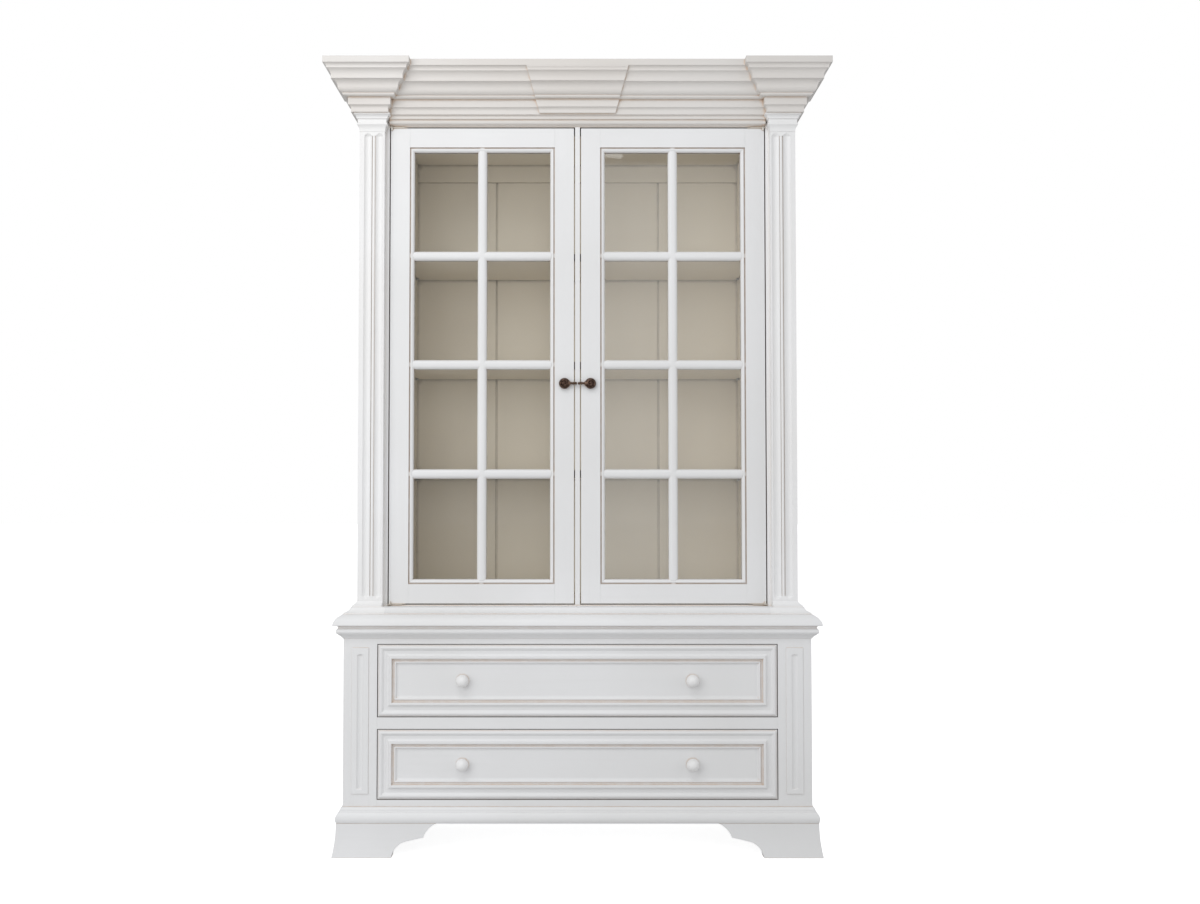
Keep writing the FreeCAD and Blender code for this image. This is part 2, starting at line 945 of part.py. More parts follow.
def door_members():
    """Full-height stiles with rails between them, each with its length of moulding."""
    x0, x1, z0, z1 = door_flat()
    y0, y1 = door_y, door_back_y
    outer_run, top_run, inner_run, bottom_run = sash_runs()
    stile_outer = box(-door_outer_x, x0, y0, y1, door_z, door_top_z)
    stile_inner = box(x1, -door_inner_x, y0, y1, door_z, door_top_z)
    rail_top = box(x0, x1, y0, y1, z1, door_top_z)
    rail_bottom = box(x0, x1, y0, y1, door_z, z0)
    members = []
    for flat, run in (
        (stile_outer, outer_run),
        (stile_inner, inner_run),
        (rail_top, top_run),
        (rail_bottom, bottom_run),
    ):
        members.append(joined([flat, run]))
    spindle = rod(
        spindle_radius + spindle_clearance,
        Vector(-latch_x(), y0 - 1, latch_z()),
        Vector(0, 1, 0),
        door_thickness + 2,
    )
    members[1] = members[1].cut(spindle)
    return members


def muntin_outline():
    seat = door_thickness - glass_seat_depth
    half = muntin_width / 2
    web = muntin_web / 2
    crest = door_thickness - 2
    return [
        (-web, 0),
        (web, 0),
        (web, seat),
        (half, seat),
        (half, seat + 1.5, 2),
        (web, crest),
        (-web, crest, 2),
        (-half, seat + 1.5),
        (-half, seat),
        (-web, seat),
    ]


def muntins(members):
    """One upright for the full height, and cross bars coped to it and to the frame."""
    x0, x1, z0, z1 = door_flat()
    back = door_back_y
    middle = (x0 + x1) / 2
    upright = moulded_run(muntin_outline(), (middle, z0), (0, 1), z1 - z0, FRONT, (0, 0))
    upright.translate(Vector(0, back, 0))
    for member in members[2:]:
        upright = upright.cut(member)
    bars = []
    for z in muntin_rows():
        bar = moulded_run(muntin_outline(), (x0, z), (1, 0), x1 - x0, FRONT, (0, 0))
        bar.translate(Vector(0, back, 0))
        bar = bar.cut(members[0]).cut(members[1]).cut(upright)
        bars += bar.Solids
    return [upright] + bars


def muntin_rows():
    z0, z1 = door_glass_opening()[2:]
    pitch = (z1 - z0 + muntin_width) / pane_rows
    return [z0 + pitch * i - muntin_width / 2 for i in range(1, pane_rows)]


def pane_rectangles():
    """Edges of the visible glass of each pane: x0, x1, z0, z1."""
    x0, x1, z0, z1 = door_glass_opening()
    middle = (x0 + x1) / 2
    half = muntin_width / 2
    columns = [(x0, middle - half), (middle + half, x1)]
    rows = muntin_rows()
    floors = [z0] + [z + half for z in rows]
    heads = [z - half for z in rows] + [z1]
    return [(a, b, c, d) for a, b in columns for c, d in zip(floors, heads)]


def door_glass():
    panes = []
    reach = glass_rebate - glass_clearance
    y0 = door_y + glass_seat_depth
    for x0, x1, z0, z1 in pane_rectangles():
        panes.append(box(x0 - reach, x1 + reach, y0, y0 + glass_thickness, z0 - reach, z1 + reach))
    return panes


def glass_stops():
    """Strips behind the glass, two upright and two across for each pane."""
    y0 = door_y + glass_seat_depth + glass_thickness
    y1 = door_back_y
    strips = []
    for x0, x1, z0, z1 in pane_rectangles():
        outer = (x0 - glass_rebate, x1 + glass_rebate, z0 - glass_rebate, z1 + glass_rebate)
        strips += [
            box(outer[0], x0, y0, y1, outer[2], outer[3]),
            box(x1, outer[1], y0, y1, outer[2], outer[3]),
            box(x0, x1, y0, y1, outer[2], z0),
            box(x0, x1, y0, y1, z1, outer[3]),
        ]
    return strips


def pivot_x():
    return door_outer_x - pivot_pin_stand


def leaf(x0, x1, z0, hole):
    """A thin leaf with a rounded ear in front of the door face, round the pin."""
    ear = pivot_pin_radius + pivot_ear
    axis = Vector(-pivot_x(), door_y - pivot_pin_stand, z0)
    plate = box(x0, x1, door_y - pivot_pin_stand, door_back_y - 4, z0, z0 + pivot_leaf)
    plate = joined([plate, rod(ear, axis, UP, pivot_leaf)])
    if hole:
        plate = plate.cut(rod(pivot_pin_radius + pivot_clearance, axis, UP, pivot_leaf))
    return plate


def door_leaves():
    """Leaves screwed to the ends of the door, with the holes that the pins turn in."""
    x0 = -door_outer_x + 0.5
    x1 = x0 + door_leaf_length
    top = leaf(x0, x1, door_top_z, True)
    bottom = leaf(x0, x1, door_z - pivot_leaf, True)
    return [top, bottom]


def case_leaves():
    """Leaves screwed to the rails over and under the door, with their pins."""
    x0 = -opening_x
    x1 = x0 + case_leaf_length
    solids = []
    for z, pin_z in (
        (head_z - pivot_leaf, door_top_z - pivot_pin_bite),
        (sill_z, sill_z),
    ):
        start = Vector(-pivot_x(), door_y - pivot_pin_stand, pin_z)
        length = door_gap + pivot_pin_bite
        pin = rod(pivot_pin_radius, start, UP, length)
        solids.append(joined([leaf(x0, x1, z, False), pin]))
    return solids


def latch_x():
    return door_inner_x + latch_from_door_edge


def latch_z():
    return door_z + latch_height_above_door


def latch():
    """Knob with a finger toward the centre stile, spindle through the door, and a tongue
    behind it that stands upright until the knob is turned."""
    x, z = -latch_x(), latch_z()
    face = door_y - latch_lift
    tongue_y = door_back_y + tongue_gap
    tongue_back = tongue_y + tongue_thickness
    boss_back = door_y - latch_boss_gap
    knob = turned(
        [
            (0, face - tongue_back),
            (spindle_radius, face - tongue_back),
            (spindle_radius, face - boss_back),
            (2 * spindle_radius, face - boss_back),
            (2 * spindle_radius, 0),
            (latch_knob_radius - 3, 0, 1.2),
            (latch_knob_radius, 4, 1.5),
            (latch_knob_radius - 5, latch_knob_depth - 3),
            (latch_knob_radius - 10, latch_knob_depth - 0.6),
            (latch_knob_radius - 12, latch_knob_depth),
            (0, latch_knob_depth),
        ],
        Vector(x, face, z),
        Vector(0, -1, 0),
        Vector(-1, 0, 0),
    )
    reach = latch_x() - latch_tip_gap
    finger = turned(
        [
            (0, 8),
            (5.5, 8),
            (3.2, reach - 13),
            (4.4, reach - 12, 0.8),
            (4.4, reach - 9),
            (3.0, reach - 8),
            (3.0, reach - 5),
            (4.4, reach - 4, 0.8),
            (4.4, reach - 1),
            (3.4, reach),
            (0, reach),
        ],
        Vector(x, face - latch_knob_depth / 2 + 1, z),
        Vector(1, 0, 0),
        Vector(0, -1, 0),
    )
    half = tongue_width / 2
    tongue = joined(
        [
            box(x - half, x + half, tongue_y, tongue_back, z, z + reach - half),
            rod(half, Vector(x, tongue_y, z + reach - half), Vector(0, 1, 0), tongue_thickness),
            rod(half + 2, Vector(x, tongue_y, z), Vector(0, 1, 0), tongue_thickness),
        ]
    )
    return [knob, finger.cut(knob), tongue.cut(knob)]


# ---------------------------------------------------------------- every node


def drawer_nodes(name):
    return {
        name + "_drawer_front": [drawer_front(name).cut(screw_holes(name))],
        name + "_drawer_sides": drawer_sides(name),
        name + "_drawer_bottom": [drawer_bottom(name)],
        name + "_drawer_back": [drawer_back(name)],
        name + "_drawer_knobs": drawer_knobs(name),
    }


def screw_holes(name):
    z = drawer_z[name] + drawer_opening[name] / 2
    return Part.makeCompound([knob_screw(x, z) for x in (-knob_spacing / 2, knob_spacing / 2)])


def door_nodes():
    members = door_members()
    return {
        "door_stiles": members[:2],
        "door_rails": members[2:],
        "door_muntins": muntins(members),
        "door_glass": door_glass(),
        "door_glass_stops": glass_stops(),
        "door_pivots": door_leaves(),
    }


def mirrored_all(solids):
    return [mirrored(solid) for solid in solids]


def all_nodes():
    nodes = {
        "rear_feet": rear_foot_left() + mirrored_all(rear_foot_left()),
        "base_moulding": base_moulding(),
        "base_bottom_panel": [
            box(
                base_thickness - case_x,
                case_x - base_thickness,
                case_y + base_thickness,
                back_y,
                case_z - bottom_thickness,
                case_z,
            )
        ],
        "base_rail_bottom": [rail(case_z, drawer_z["lower"])],
        "base_rail_middle": [rail(middle_rail_z, drawer_z["upper"])],
        "base_rail_top": [rail(top_rail_z, waist_board_z)],
        "base_back_panel": [
            box(-case_inner_x, case_inner_x, back_face_y, back_y, case_z, waist_board_z)
        ],
        "drawer_runners": drawer_runners(),
        "waist_board": [box(-case_x, case_x, case_y, back_y, waist_board_z, hutch_z)],
        "waist_moulding": waist_moulding(),
        "hutch_base_rail": [hutch_base_rail()],
        "hutch_base_moulding": hutch_base_moulding(),
        "hutch_bottom_board": [hutch_board(hutch_z, sill_z, door_y + rail_depth)],
        "hutch_centre_stile": [
            box(
                -centre_stile_width / 2,
                centre_stile_width / 2,
                door_y,
                door_back_y,
                sill_z,
                head_z,
            )
        ],
        "hutch_head_rail": [head_rail()],
        "hutch_top_board": [
            hutch_board(ceiling_z, ceiling_z + hutch_board_thickness, door_back_y + door_stop_gap)
        ],
        "hutch_back_panel": [hutch_back_panel()],
        "shelf_pins": shelf_pins_left() + mirrored_all(shelf_pins_left()),
        "cornice_runs": cornice_runs(),
        "cornice_keystone": [cornice_keystone()],
        "door_pivot_pins": case_leaves() + mirrored_all(case_leaves()),
    }
    side = box(-case_x, -case_inner_x, post_back_y, back_y, case_z, waist_board_z)
    pairs = {
        "base_side": [side],
        "hutch_side": hutch_side_left(),
        "hutch_pilaster": pilaster_left(),
        "base_corner_post": [corner_post_left()],
        "front_foot": front_foot_left(),
        "cornice_block": [cornice_block_left()],
    }
    for name, solids in pairs.items():
        nodes[name + "_left"] = solids
        nodes[name + "_right"] = mirrored_all(solids)
    for name, level in zip(("lower", "middle", "upper"), shelf_levels()):
        nodes["shelf_" + name] = [shelf(level)]
    for name in ("upper", "lower"):
        nodes.update(drawer_nodes(name))
    for name, solids in door_nodes().items():
        nodes["left_" + name] = solids
        nodes["right_" + name] = mirrored_all(solids)
    nodes["left_latch"] = latch()
    nodes["right_latch"] = mirrored_all(latch())
    return nodes


os.makedirs("parts", exist_ok=True)
for node, solids in all_nodes().items():
    shape = solids[0] if len(solids) == 1 else Part.makeCompound(solids)
    shape.exportStep("parts/" + node + ".step")
    print(node, len(shape.Solids), round(shape.Volume / 1e3, 1), shape.isValid())
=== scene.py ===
import json
import math

import bmesh
import bpy
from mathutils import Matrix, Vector


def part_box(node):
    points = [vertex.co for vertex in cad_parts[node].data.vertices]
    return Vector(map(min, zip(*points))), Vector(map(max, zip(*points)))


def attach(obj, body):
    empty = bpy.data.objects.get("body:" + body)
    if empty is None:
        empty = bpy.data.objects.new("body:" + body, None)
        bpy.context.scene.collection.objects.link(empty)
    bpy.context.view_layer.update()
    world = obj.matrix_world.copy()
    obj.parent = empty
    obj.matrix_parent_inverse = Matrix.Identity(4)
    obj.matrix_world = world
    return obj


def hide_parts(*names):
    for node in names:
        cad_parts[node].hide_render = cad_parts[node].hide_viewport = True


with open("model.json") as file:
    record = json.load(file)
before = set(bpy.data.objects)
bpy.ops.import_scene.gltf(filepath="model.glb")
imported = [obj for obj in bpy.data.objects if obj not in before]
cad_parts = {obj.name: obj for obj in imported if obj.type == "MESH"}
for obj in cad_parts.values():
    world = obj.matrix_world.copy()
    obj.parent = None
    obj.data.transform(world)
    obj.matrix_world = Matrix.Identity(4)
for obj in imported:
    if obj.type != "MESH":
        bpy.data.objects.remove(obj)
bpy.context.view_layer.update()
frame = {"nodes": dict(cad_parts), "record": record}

scene = bpy.context.scene
nodes = frame["nodes"]
record = frame["record"]

# ---------------------------------------------------------------- camera, light and floor

camera_data = bpy.data.cameras.new("camera")
camera_data.lens = 35.4
camera_data.sensor_width = 36.0
camera_data.shift_x = 0.01875
camera = bpy.data.objects.new("camera", camera_data)
camera.location = (0.0, -3.345, 0.9725)
camera.rotation_euler = (math.radians(90 + 1.845), 0.0, 0.0)
scene.collection.objects.link(camera)
scene.camera = camera
scene.view_settings.view_transform = "Standard"

world = bpy.data.worlds.new("studio")
world.use_nodes = True
scene.world = world
sky_tree = world.node_tree
room = sky_tree.nodes["Background"]
room.inputs["Color"].default_value = (0.97, 0.985, 1.0, 1.0)
room.inputs["Strength"].default_value = 0.57
paper = sky_tree.nodes.new("ShaderNodeBackground")
paper.inputs["Color"].default_value = (1.0, 1.0, 1.0, 1.0)
rays = sky_tree.nodes.new("ShaderNodeLightPath")
choose = sky_tree.nodes.new("ShaderNodeMixShader")
sky_tree.links.new(rays.outputs["Is Camera Ray"], choose.inputs[0])
sky_tree.links.new(room.outputs[0], choose.inputs[1])
sky_tree.links.new(paper.outputs[0], choose.inputs[2])
sky_tree.links.new(choose.outputs[0], sky_tree.nodes["World Output"].inputs["Surface"])


def area_light(name, place, aim, size, power, colour):
    """A soft rectangular light at a place, turned to face its aim."""
    data = bpy.data.lights.new(name, "AREA")
    data.shape = "RECTANGLE"
    data.size, data.size_y = size
    data.energy = power
    data.color = colour
    light = bpy.data.objects.new(name, data)
    light.location = place
    light.rotation_euler = (Vector(aim) - Vector(place)).to_track_quat("-Z", "Y").to_euler()
    scene.collection.objects.link(light)
    return light


def lights_only(light, label, objects):
    """The light reaches these objects and nothing else."""
    reached = bpy.data.collections.new(label)
    for item in objects:
        reached.objects.link(item)
    light.light_linking.receiver_collection = reached


COOL = (0.98, 0.99, 1.0)
area_light("key", (-2.0, -2.5, 1.5), (0.0, 0.0, 0.95), (2.0, 2.2), 28.0, (0.985, 0.992, 1.0))
area_light("overhead", (-0.6, -1.7, 2.8), (0.0, -0.1, 0.4), (2.0, 0.9), 15.0, COOL)
area_light("side fill", (2.5, -1.2, 1.2), (0.3, 0.0, 1.0), (1.2, 2.2), 7.5, (1.0, 1.0, 1.0))

# Two tall cards that the right door's panes reflect as a pale haze.
area_light("near card", (0.36, -5.2, 1.75), (0.36, 0.0, 1.75), (0.54, 3.1), 6.8, COOL)
area_light("far card", (0.94, -5.2, 1.75), (0.94, 0.0, 1.75), (0.62, 3.1), 5.5, COOL)

# Light from below on the crown, and light that reaches only the inside of the hutch.
showcase = area_light("showcase", (-0.35, -2.6, 1.3), (0.05, 0.2, 1.2), (1.4, 1.8), 9.5, (1.0, 0.985, 0.96))
bounce = area_light("bounce", (0.0, -2.2, 0.3), (0.0, -0.1, 2.1), (2.2, 0.8), 5.0, (1.0, 0.985, 0.96))
hutch_inside = (
    "hutch_back_panel",
    "shelf_lower",
    "shelf_middle",
    "shelf_upper",
    "hutch_top_board",
    "hutch_side_left",
    "hutch_side_right",
    "hutch_bottom_board",
)
crown_parts = (
    "cornice_runs",
    "cornice_block_left",
    "cornice_block_right",
    "cornice_keystone",
    "hutch_head_rail",
)
lights_only(showcase, "showcase_light", [nodes[name] for name in hutch_inside])
lights_only(bounce, "crown_light", [nodes[name] for name in crown_parts])


# ---------------------------------------------------------------- materials


def new_material(name):
    """A material with its node tree and its shader."""
    material = bpy.data.materials.new(name)
    material.use_nodes = True
    tree = material.node_tree
    return material, tree, tree.nodes["Principled BSDF"]


def add(tree, kind, settings=None, links=None):
    """A new node, with its inputs or settings set and other nodes' sockets linked to it."""
    node = tree.nodes.new(kind)
    for key, value in (settings or {}).items():
        if key in node.inputs:
            node.inputs[key].default_value = value
        else:
            setattr(node, key, value)
    for key, source in (links or {}).items():
        tree.links.new(source, node.inputs[key])
    return node


def noise(tree, stretch, scale, detail=3.0, roughness=0.5):
    """Noise in the object's own coordinates, drawn out along its grain."""
    place = add(tree, "ShaderNodeTexCoord")
    fit = add(tree, "ShaderNodeMapping", {"Scale": stretch}, {"Vector": place.outputs["Object"]})
    made = add(
        tree,
        "ShaderNodeTexNoise",
        {"Scale": scale, "Detail": detail, "Roughness": roughness},
        {"Vector": fit.outputs["Vector"]},
    )
    return made.outputs["Fac"]


def span(tree, value, low, high, out_low=0.0, out_high=1.0):
    """The value mapped from low..high to out_low..out_high."""
    settings = {"From Min": low, "From Max": high, "To Min": out_low, "To Max": out_high}
    return add(tree, "ShaderNodeMapRange", settings, {"Value": value}).outputs["Result"]


def mixed(tree, share, first, second):
    """Two colours mixed. Colours are sockets or triples."""
    node = add(tree, "ShaderNodeMix", {"data_type": "RGBA"})
    for socket, value in ((node.inputs["Factor"], share), (node.inputs[6], first), (node.inputs[7], second)):
        if isinstance(value, bpy.types.NodeSocket):
            tree.links.new(value, socket)
        elif isinstance(value, tuple):
            socket.default_value = value + (1.0,)
        else:
            socket.default_value = value
    return node.outputs[2]


def times(tree, first, second, operation="MULTIPLY"):
    """A product, or another operation on two values."""
    node = add(tree, "ShaderNodeMath", {"operation": operation}, {0: first})
    if isinstance(second, bpy.types.NodeSocket):
        tree.links.new(second, node.inputs[1])
    else:
        node.inputs[1].default_value = second
    return node.outputs[0]


def painted(name, light, dark, glaze_and_shade, gap_shade, grain, recess_share=0.9, reach=0.010, lined=None):
    """Brushed satin paint with a colour laid in its recesses, a tinted glaze on the white paints and painted
    shade inside the hutch, and a painted dark shade in its deepest gaps.
    lined is (distance from the middle, colour): nearer the middle than that, it has that colour."""
    material, tree, shader = new_material(name)
    strokes = noise(tree, grain, 30.0, 4.0, 0.6)
    clouds = noise(tree, (1.0, 1.0, 1.0), 2.2, 2.0)
    body = mixed(tree, span(tree, clouds, 0.35, 0.65), light, dark)
    body = mixed(tree, span(tree, strokes, 0.5, 0.75, 0.0, 0.35), body, dark)
    hollow = add(tree, "ShaderNodeAmbientOcclusion", {"samples": 8, "Distance": reach})
    # Recess colour where nearby surfaces close in: a tinted glaze on the white paints, a dark brown painted
    # shade on the inside paint.
    recess = span(tree, hollow.outputs["AO"], 0.74, 0.46)
    uneven = span(tree, noise(tree, (1.0, 1.0, 1.0), 45.0, 3.0), 0.3, 0.6, 0.6, 1.0)
    share = times(tree, times(tree, recess, uneven), recess_share)
    colour = mixed(tree, share, body, glaze_and_shade)
    # Painted shade: a near-black colour where the surface lies deep in a gap.
    colour = mixed(tree, span(tree, hollow.outputs["AO"], 0.36, 0.14), colour, gap_shade)
    if lined:
        place = add(tree, "ShaderNodeTexCoord")
        apart = add(tree, "ShaderNodeSeparateXYZ", {}, {0: place.outputs["Object"]}).outputs["X"]
        within = times(tree, times(tree, apart, 1.0, "ABSOLUTE"), lined[0], "LESS_THAN")
        colour = mixed(tree, within, colour, lined[1])
    tree.links.new(colour, shader.inputs["Base Color"])
    tree.links.new(span(tree, strokes, 0.3, 0.7, 0.38, 0.52), shader.inputs["Roughness"])
    soft = add(tree, "ShaderNodeBevel", {"samples": 4, "Radius": 0.0012})
    bump = add(tree, "ShaderNodeBump", {"Strength": 0.12, "Distance": 0.0006}, {"Height": strokes})
    tree.links.new(soft.outputs["Normal"], bump.inputs["Normal"])
    tree.links.new(bump.outputs["Normal"], shader.inputs["Normal"])
    return material


ALONG_X = (0.12, 3.0, 3.0)
ALONG_Y = (3.0, 0.12, 3.0)
ALONG_Z = (3.0, 3.0, 0.12)
# Each paint is its light tone, its dark tone, the colour in its recesses, which is a tinted glaze on the white
# paints and painted shade on the inside paint, and the painted shade in its gaps.
WHITE = ((0.80, 0.797, 0.80), (0.755, 0.75, 0.747), (0.64, 0.49, 0.37), (0.11, 0.07, 0.05))
# The pilasters' and knobs' paint is the white paint lightened as painted light, with a paler glaze and a
# lighter painted shade in its gaps.
LIT_SHAFT = ((0.84, 0.835, 0.835), (0.81, 0.80, 0.79), (0.82, 0.76, 0.70), (0.60, 0.52, 0.45))
# The crown's paint is the white paint darkened as painted shade, with a stronger glaze reaching wider recesses
# that is partly real glaze and partly painted shade.
SHADED_CROWN = ((0.67, 0.645, 0.62), (0.63, 0.595, 0.56), (0.62, 0.47, 0.35), (0.13, 0.085, 0.06))
# The inside paint; its third colour is a dark brown painted shade in the hutch's corners and recesses.
GREIGE = ((0.82, 0.76, 0.65), (0.77, 0.705, 0.595), (0.24, 0.18, 0.12), (0.10, 0.07, 0.05))
PANEL_THICKNESS = 0.0202
LINED = (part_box("hutch_side_right")[1].x - PANEL_THICKNESS, GREIGE[1])
paint = {
    "x": painted("white_paint_across", *WHITE, ALONG_X),
    "z": painted("white_paint_upright", *WHITE, ALONG_Z),
    # Darkened crown paint: painted shade.
    "crown": painted("white_paint_shaded_crown", *SHADED_CROWN, ALONG_X, 1.0, 0.014),
    # Lightened pilaster paint: painted light.
    "shaft": painted("white_paint_lit_shaft", *LIT_SHAFT, ALONG_Z, 0.8, 0.006),
    "side": painted("white_paint_side", *WHITE, ALONG_Z, lined=LINED),
}
# The inside paints lay their dark brown painted shade up to 2 cm into the hutch's corners.
inside = {
    "x": painted("inside_paint_across", *GREIGE, ALONG_X, 0.7, 0.02),
    "z": painted("inside_paint_upright", *GREIGE, ALONG_Z, 0.7, 0.02),
}


def bare_wood(name, grain):
    material, tree, shader = new_material(name)
    rings = noise(tree, grain, 14.0, 5.0, 0.6)
    pores = noise(tree, grain, 90.0, 2.0, 0.7)
    colour = mixed(tree, span(tree, rings, 0.35, 0.65), (0.62, 0.44, 0.26), (0.46, 0.30, 0.16))
    colour = mixed(tree, span(tree, pores, 0.55, 0.75, 0.0, 0.5), colour, (0.30, 0.19, 0.10))
    tree.links.new(colour, shader.inputs["Base Color"])
    tree.links.new(span(tree, pores, 0.3, 0.7, 0.5, 0.65), shader.inputs["Roughness"])
    bump = add(tree, "ShaderNodeBump", {"Strength": 0.2, "Distance": 0.0005}, {"Height": pores})
    tree.links.new(bump.outputs["Normal"], shader.inputs["Normal"])
    return material


wood = {"x": bare_wood("bare_wood_across", ALONG_X), "y": bare_wood("bare_wood_deep", ALONG_Y)}


def metal(name, base, worn, roughness, metallic):
    material, tree, shader = new_material(name)
    patina = noise(tree, (1.0, 1.0, 1.0), 160.0, 4.0, 0.6)
    ridge = add(tree, "ShaderNodeAmbientOcclusion", {"samples": 8, "Distance": 0.003, "inside": True})
    edge = span(tree, ridge.outputs["AO"], 0.75, 0.35, 0.0, 0.8)
    colour = mixed(tree, span(tree, patina, 0.4, 0.7, 0.0, 0.6), base, worn)
    colour = mixed(tree, edge, colour, worn)
    tree.links.new(colour, shader.inputs["Base Color"])
    shader.inputs["Metallic"].default_value = metallic
    tree.links.new(span(tree, patina, 0.3, 0.7, roughness - 0.08, roughness + 0.12), shader.inputs["Roughness"])
    bump = add(tree, "ShaderNodeBump", {"Strength": 0.25, "Distance": 0.0003}, {"Height": patina})
    tree.links.new(bump.outputs["Normal"], shader.inputs["Normal"])
    return material


bronze = metal("bronze", (0.055, 0.030, 0.022), (0.22, 0.14, 0.10), 0.27, 0.85)
steel = metal("steel", (0.45, 0.45, 0.46), (0.62, 0.62, 0.62), 0.32, 1.0)
hinge_paint = metal("painted_hinge", (0.74, 0.72, 0.69), (0.62, 0.56, 0.48), 0.4, 0.1)


def pane_glass():
    """Clear glass that lets the light of the room through without bending it."""
    material, tree, shader = new_material("glass")
    ripple = noise(tree, (1.0, 1.0, 0.35), 3.0, 0.0)
    bump = add(tree, "ShaderNodeBump", {"Strength": 0.02, "Distance": 0.001}, {"Height": ripple})
    clear = add(tree, "ShaderNodeBsdfTransparent", {"Color": (0.97, 0.97, 0.965, 1.0)})
    shine = add(tree, "ShaderNodeBsdfGlossy", {"Roughness": 0.03, "Color": (1, 1, 1, 1)})
    tree.links.new(bump.outputs["Normal"], shine.inputs["Normal"])
    glancing = add(tree, "ShaderNodeLayerWeight", {"Blend": 0.5}).outputs["Facing"]
    share = times(tree, times(tree, times(tree, glancing, 5.0, "POWER"), 0.96), 0.04, "ADD")
    mix = add(tree, "ShaderNodeMixShader", {}, {0: share, 1: clear.outputs[0], 2: shine.outputs[0]})
    tree.links.new(mix.outputs[0], tree.nodes["Material Output"].inputs["Surface"])
    tree.nodes.remove(shader)
    return material


glass = pane_glass()

ACROSS = ("rail", "drawer_front", "moulding", "waist", "cornice", "shelf", "foot", "feet", "knobs", "board")
SLOT_MATERIALS = {"glass": glass, "bronze": bronze, "steel": steel, "painted_hinge": hinge_paint}


def finish_of(node, slot):
    """The look of a node, with brush strokes or grain along its length."""
    if slot in SLOT_MATERIALS:
        return SLOT_MATERIALS[slot]
    if slot == "bare_wood":
        return wood["x" if node.endswith("_back") else "y"]
    across = any(word in node for word in ACROSS)
    if slot == "inside_paint":
        return inside["x" if across else "z"]
    if node in ("hutch_top_board", "hutch_bottom_board"):
        return inside["x"]
    # The crown takes the darkened paint, painted shade.
    if node.startswith("cornice") or node == "hutch_head_rail":
        return paint["crown"]
    # The pilasters take the lightened paint, painted light.
    if node.startswith("hutch_pilaster"):
        return paint["shaft"]
    if node.startswith("hutch_side"):
        return paint["side"]
    return paint["x" if across else "z"]


slots = {row["node"]: row["material_slot"] for row in record["subparts"]}
for name, node in nodes.items():
    material = finish_of(name, slots[name])
    node.data.materials.clear()
    node.data.materials.append(material)

# ---------------------------------------------------------------- turned and carved pieces


def lathe(bm, profile, origin, axis, across, segments=48):
    """A closed solid of revolution; the profile is (radius, along) from axis to axis."""
    axis, across = Vector(axis), Vector(across)
    other = axis.cross(across)
    rings = []
    for radius, along in profile:
        centre = Vector(origin) + axis * along
        if radius == 0:
            rings.append([bm.verts.new(centre)])
            continue
        ring = []
        for i in range(segments):
            turn = 2 * math.pi * i / segments
            ring.append(bm.verts.new(centre + (across * math.cos(turn) + other * math.sin(turn)) * radius))
        rings.append(ring)
    for near, far in zip(rings, rings[1:]):
        for i in range(segments):
            j = (i + 1) % segments
            a, b = near[i % len(near)], near[j % len(near)]
            c, d = far[j % len(far)], far[i % len(far)]
            corners = [v for n, v in enumerate((a, b, c, d)) if v not in (a, b, c, d)[:n]]
            bm.faces.new(corners)


def arc(centre, radius, first, last, count):
    """Points of (radius, along) round a centre, from one angle to another, in degrees."""
    points = []
    for i in range(count + 1):
        turn = math.radians(first + (last - first) * i / count)
        points.append((centre[0] + radius * math.cos(turn), centre[1] + radius * math.sin(turn)))
    return points


def finished(name, bm, material, body, replaced, sharp=40):
    """The piece as a smooth-shaded object that rides on a body in place of a CAD node."""
    bmesh.ops.recalc_face_normals(bm, faces=bm.faces)
    mesh = bpy.data.meshes.new(name)
    bm.to_mesh(mesh)
    bm.free()
    for polygon in mesh.polygons:
        polygon.use_smooth = True
    mesh.set_sharp_from_angle(angle=math.radians(sharp))
    mesh.materials.append(material)
    piece = bpy.data.objects.new(name, mesh)
    scene.collection.objects.link(piece)
    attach(piece, body)
    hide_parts(replaced)
    return piece


def knob_profile(radius, length):
    """A ball on a waisted neck with a small round foot, from the face outward."""
    foot = [(0.0, 0.0), (0.0102, 0.0)] + arc((0.0090, 0.0018), 0.0018, -20, 80, 5)
    neck = arc((0.0155, 0.0095), 0.0082, 215, 140, 8)
    centre = length - radius
    ball = arc((0.0, centre), radius, -52, 88, 22)
    return foot + neck + ball + [(0.0, length)]


FIELD_DEPTH = 0.014
KNOB_RADIUS = 0.017
SCREW_HEAD = [(0.0, 0.0), (0.004, 0.0), (0.0038, 0.0010), (0.0028, 0.0019), (0.0, 0.0024)]


def drawer_knobs(name):
    """Both knobs of a drawer, with the heads of their screws inside it."""
    low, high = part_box(name + "_drawer_knobs")
    field_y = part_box(name + "_drawer_front")[1].y - FIELD_DEPTH
    length = field_y - low.y
    middle = (low.z + high.z) / 2
    bm = bmesh.new()
    for side in (-1, 1):
        x = side * (high.x - KNOB_RADIUS)
        lathe(bm, knob_profile(KNOB_RADIUS, length), (x, field_y, middle), (0, -1, 0), (1, 0, 0))
        head_y = high.y - SCREW_HEAD[-1][1]
        lathe(bm, SCREW_HEAD, (x, head_y, middle), (0, 1, 0), (1, 0, 0), 24)
    # The knobs take the lightened pilaster paint, painted light.
    finished(name + "_knobs_turned", bm, paint["shaft"], name + "_drawer", name + "_drawer_knobs")


for level in ("upper", "lower"):
    drawer_knobs(level)


SWIRL_TURNS = 1.9
GROOVE_DEPTH = 0.0028
GROOVE_WIDTH = 0.13
RIM_THICKNESS = 0.0025


